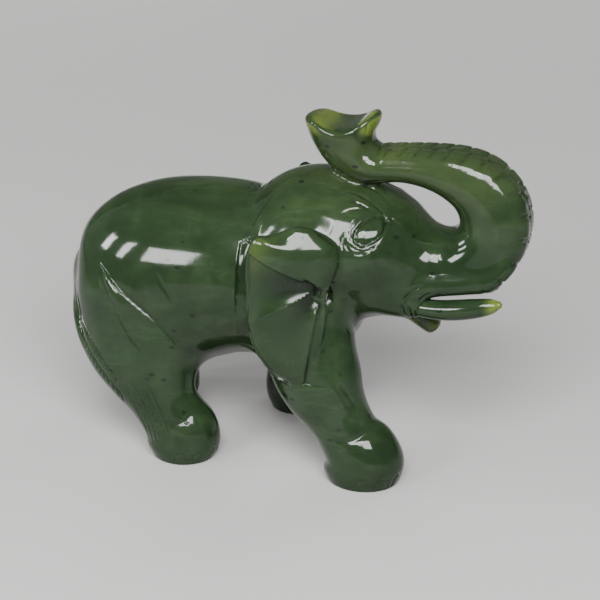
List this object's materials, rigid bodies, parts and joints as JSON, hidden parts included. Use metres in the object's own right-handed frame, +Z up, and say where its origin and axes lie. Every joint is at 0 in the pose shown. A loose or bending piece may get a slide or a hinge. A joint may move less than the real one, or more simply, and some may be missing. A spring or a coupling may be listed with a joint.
{
  "type": "elephant figurine",
  "caption": "Polished green jade elephant, nephrite by its look, carved in one stone with its trunk thrown back over its head and its mouth open. The two short tusks are built as separate pegs",
  "frame": {"origin": "under the middle of the bounding box, on the plane that the four soles rest on", "axes": "+X points the way the head faces, +Y to the elephant's left, +Z up"},
  "size_m": [0.1795, 0.0818, 0.138],
  "materials": {
    "body_jade": "polished",
    "tusk_jade": "polished"
  },
  "bodies": {
    "root": {"carved_body": "body_jade", "right_tusk": "tusk_jade", "left_tusk": "tusk_jade"}
  },
  "joints": []
}
